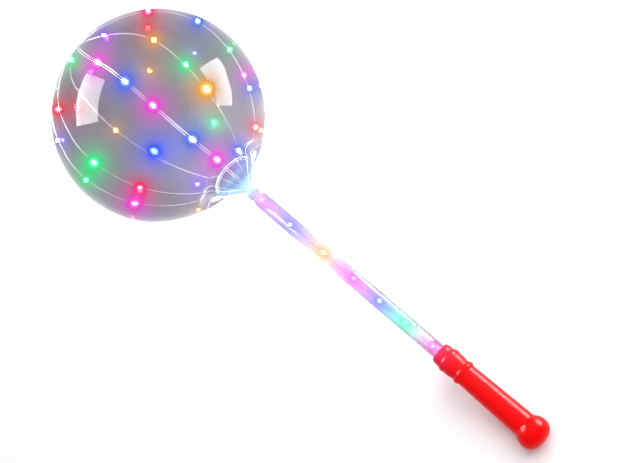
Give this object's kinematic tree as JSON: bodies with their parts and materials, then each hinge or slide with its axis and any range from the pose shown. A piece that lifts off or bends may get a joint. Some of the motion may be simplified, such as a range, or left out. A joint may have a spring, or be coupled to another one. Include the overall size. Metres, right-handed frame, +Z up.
{
  "type": "light-up balloon",
  "caption": "Clear film balloon held in a three-petal cup on a clear tube, with a string of lights over it and a red turned handle with a ball end.",
  "frame": {"origin": "middle of the outline, on the surface that the stick lies on", "axes": "+X along the outline's longest side, from the handle to the balloon; +Z up, away from the surface that it lies on"},
  "size_m": [0.8676, 0.3064, 0.3086],
  "materials": {
    "clear_film": "clear stretched film, glossy",
    "clear_moulding": "clear moulded plastic, glossy",
    "clear_tube": "clear drawn tube, glossy",
    "red_moulding": "glossy red moulding",
    "light_resin": "fine wires with clear resin drops over coloured lights"
  },
  "bodies": {
    "root": {"balloon": "clear_film", "balloon_cup": "clear_moulding", "stick_tube": "clear_tube", "handle": "red_moulding", "light_string": "light_resin"}
  },
  "joints": []
}
